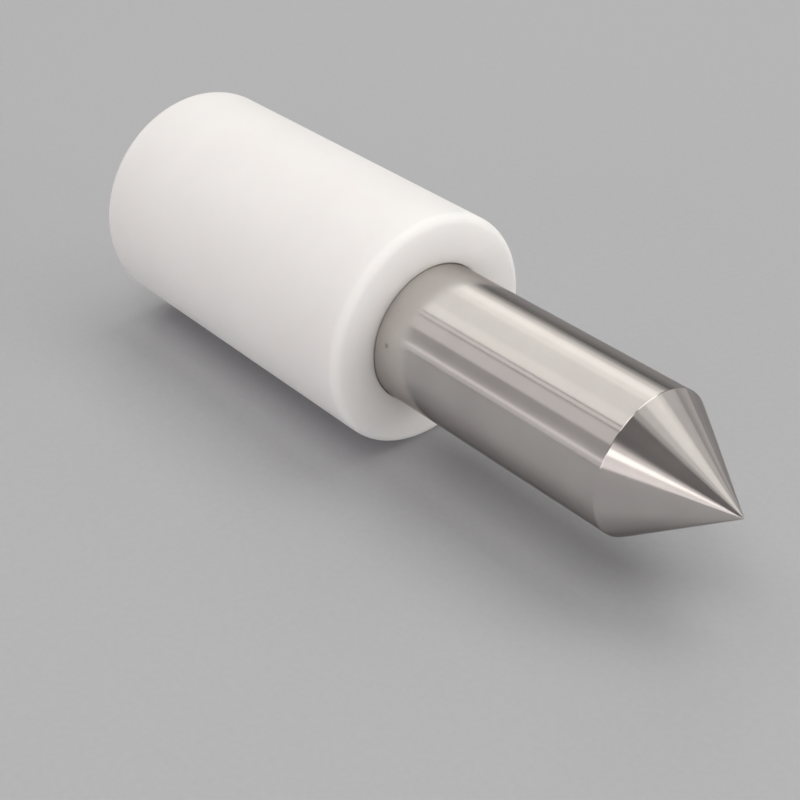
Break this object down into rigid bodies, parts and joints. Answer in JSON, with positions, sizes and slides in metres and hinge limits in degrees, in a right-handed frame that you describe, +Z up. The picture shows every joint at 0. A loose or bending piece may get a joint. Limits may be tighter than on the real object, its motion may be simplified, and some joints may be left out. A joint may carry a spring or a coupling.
{
  "type": "live center",
  "caption": "Live lathe center: a pointed steel spindle that turns on ball and thrust bearings in a plain cylindrical plastic housing with a rear seat plug.",
  "frame": {"origin": "on the spindle's axis, in the plane of the rear seat that rests against the tailstock", "axes": "+X along the spindle's axis, from the rear seat to the point; +Z up; +Y completes the frame"},
  "size_m": [0.1365, 0.042, 0.042],
  "materials": {
    "housing": "satin white acetal",
    "spindle": "polished stainless steel",
    "plug": "turned",
    "rubber": "matt black nitrile",
    "bearing_steel": "ground bearing steel",
    "balls": "lapped bearing steel",
    "cage": "natural nylon",
    "spring_steel": "blackened spring steel"
  },
  "bodies": {
    "housing": {"housing": "housing", "rear_plug": "plug", "lock_screw_1": "spring_steel", "lock_screw_2": "spring_steel", "front_seal_ring": "rubber", "plug_seal_ring": "rubber", "bearing_clip": "spring_steel", "spacer_ring": "spring_steel", "front_bearing_outer_ring": "bearing_steel", "front_bearing_front_shield": "bearing_steel", "front_bearing_rear_shield": "bearing_steel", "rear_bearing_outer_ring": "bearing_steel", "rear_bearing_front_shield": "bearing_steel", "rear_bearing_rear_shield": "bearing_steel", "thrust_housing_washer": "bearing_steel"},
    "spindle": {"spindle": "spindle", "front_bearing_inner_ring": "bearing_steel", "rear_bearing_inner_ring": "bearing_steel", "thrust_shaft_washer": "bearing_steel", "spacer_sleeve": "spring_steel", "wave_spring": "spring_steel", "spindle_clip": "spring_steel"},
    "front_cage": {"front_bearing_cage": "cage", "front_bearing_ball_01": "balls", "front_bearing_ball_02": "balls", "front_bearing_ball_03": "balls", "front_bearing_ball_04": "balls", "front_bearing_ball_05": "balls", "front_bearing_ball_06": "balls", "front_bearing_ball_07": "balls", "front_bearing_ball_08": "balls", "front_bearing_ball_09": "balls", "front_bearing_ball_10": "balls"},
    "rear_cage": {"rear_bearing_cage": "cage", "rear_bearing_ball_01": "balls", "rear_bearing_ball_02": "balls", "rear_bearing_ball_03": "balls", "rear_bearing_ball_04": "balls", "rear_bearing_ball_05": "balls", "rear_bearing_ball_06": "balls", "rear_bearing_ball_07": "balls", "rear_bearing_ball_08": "balls", "rear_bearing_ball_09": "balls", "rear_bearing_ball_10": "balls"},
    "thrust_cage": {"thrust_cage": "cage", "thrust_ball_01": "balls", "thrust_ball_02": "balls", "thrust_ball_03": "balls", "thrust_ball_04": "balls", "thrust_ball_05": "balls", "thrust_ball_06": "balls", "thrust_ball_07": "balls", "thrust_ball_08": "balls", "thrust_ball_09": "balls", "thrust_ball_10": "balls", "thrust_ball_11": "balls", "thrust_ball_12": "balls"}
  },
  "joints": [
    {"name": "spindle_spin", "type": "hinge", "parent": "housing", "child": "spindle", "pos_m": [0.06, 0, 0], "axis": [1, 0, 0], "continuous": true},
    {"name": "front_cage_spin", "type": "hinge", "parent": "housing", "child": "front_cage", "pos_m": [0.058, 0, 0], "axis": [1, 0, 0], "continuous": true},
    {"name": "thrust_cage_spin", "type": "hinge", "parent": "housing", "child": "thrust_cage", "pos_m": [0.042, 0, 0], "axis": [1, 0, 0], "continuous": true},
    {"name": "rear_cage_spin", "type": "hinge", "parent": "housing", "child": "rear_cage", "pos_m": [0.031, 0, 0], "axis": [1, 0, 0], "continuous": true}
  ],
  "couplings": [
    {"joint": "front_cage_spin", "follows": "spindle_spin", "ratio": 0.41489},
    {"joint": "thrust_cage_spin", "follows": "spindle_spin", "ratio": 0.5},
    {"joint": "rear_cage_spin", "follows": "spindle_spin", "ratio": 0.41489}
  ]
}
